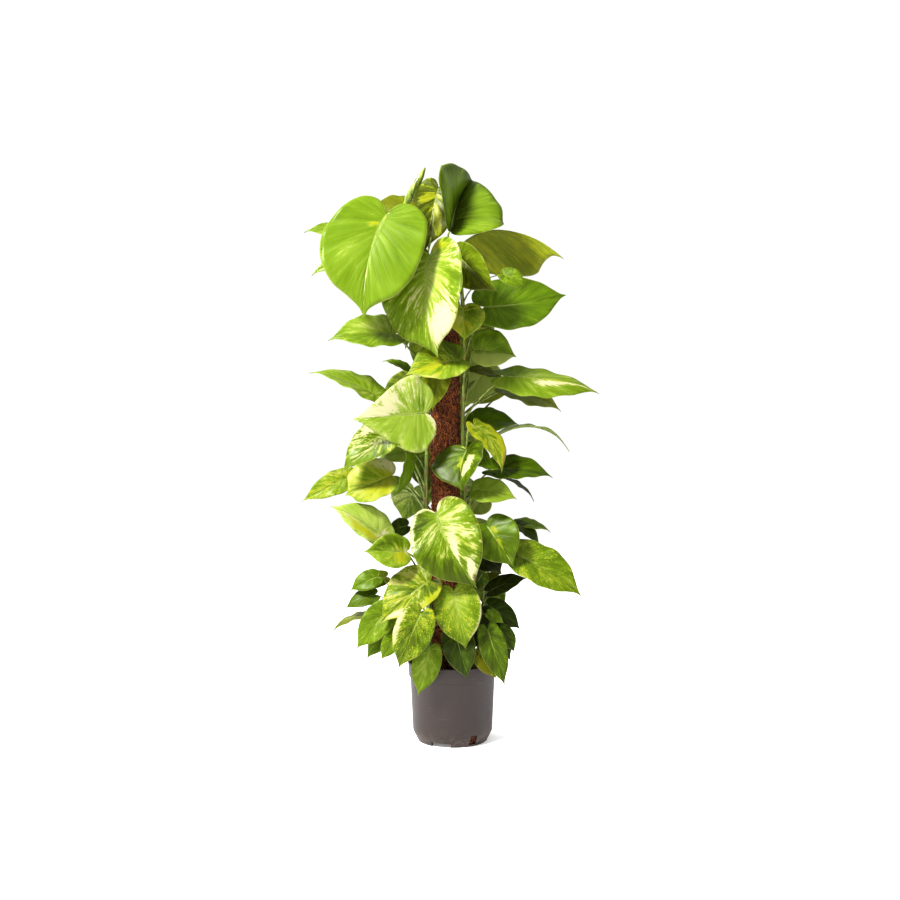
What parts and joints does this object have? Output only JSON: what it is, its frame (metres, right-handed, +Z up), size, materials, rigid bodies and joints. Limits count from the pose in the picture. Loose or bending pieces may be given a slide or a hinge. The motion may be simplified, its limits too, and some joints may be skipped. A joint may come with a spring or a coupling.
{
  "type": "potted golden pothos plant",
  "caption": "Climbing house plant with large heart-shaped variegated leaves on a coir pole, standing in a tapered nursery pot with drain slots in its foot",
  "frame": {"origin": "middle of the pot's flat underside, on the surface that it stands on", "axes": "+Z up along the pole, -Y towards the front of the plant, +X to the viewer's right"},
  "size_m": [0.5949, 0.3747, 1.156],
  "materials": {
    "pot_plastic": "satin",
    "soil": "matte",
    "coir": "matte",
    "stake_wood": "matte",
    "twine": "matte",
    "stem_green": "satin",
    "leaf_green": "satin"
  },
  "bodies": {
    "root": {"pot": "pot_plastic", "soil": "soil", "coir_sleeve": "coir", "pole_stake": "stake_wood", "binding_twine": "twine", "vine_1": "stem_green", "vine_2": "stem_green", "vine_3": "stem_green", "vine_4": "stem_green", "shoot_1": "stem_green", "shoot_2": "stem_green", "shoot_3": "stem_green", "shoot_4": "stem_green", "shoot_5": "stem_green", "shoot_6": "stem_green", "shoot_7": "stem_green", "shoot_8": "stem_green", "shoot_9": "stem_green", "leaf_01": "leaf_green", "leaf_02": "leaf_green", "leaf_03": "leaf_green", "leaf_04": "leaf_green", "leaf_05": "leaf_green", "leaf_06": "leaf_green", "leaf_07": "leaf_green", "leaf_08": "leaf_green", "leaf_09": "leaf_green", "leaf_10": "leaf_green", "leaf_11": "leaf_green", "leaf_12": "leaf_green", "leaf_13": "leaf_green", "leaf_14": "leaf_green", "leaf_15": "leaf_green", "leaf_16": "leaf_green", "leaf_17": "leaf_green", "leaf_18": "leaf_green", "leaf_19": "leaf_green", "leaf_20": "leaf_green", "leaf_21": "leaf_green", "leaf_22": "leaf_green", "leaf_23": "leaf_green", "leaf_24": "leaf_green", "leaf_25": "leaf_green", "leaf_26": "leaf_green", "leaf_27": "leaf_green", "leaf_28": "leaf_green", "leaf_29": "leaf_green", "leaf_30": "leaf_green", "leaf_31": "leaf_green", "leaf_32": "leaf_green", "leaf_33": "leaf_green", "leaf_34": "leaf_green", "leaf_35": "leaf_green", "leaf_36": "leaf_green", "leaf_37": "leaf_green"}
  },
  "joints": []
}
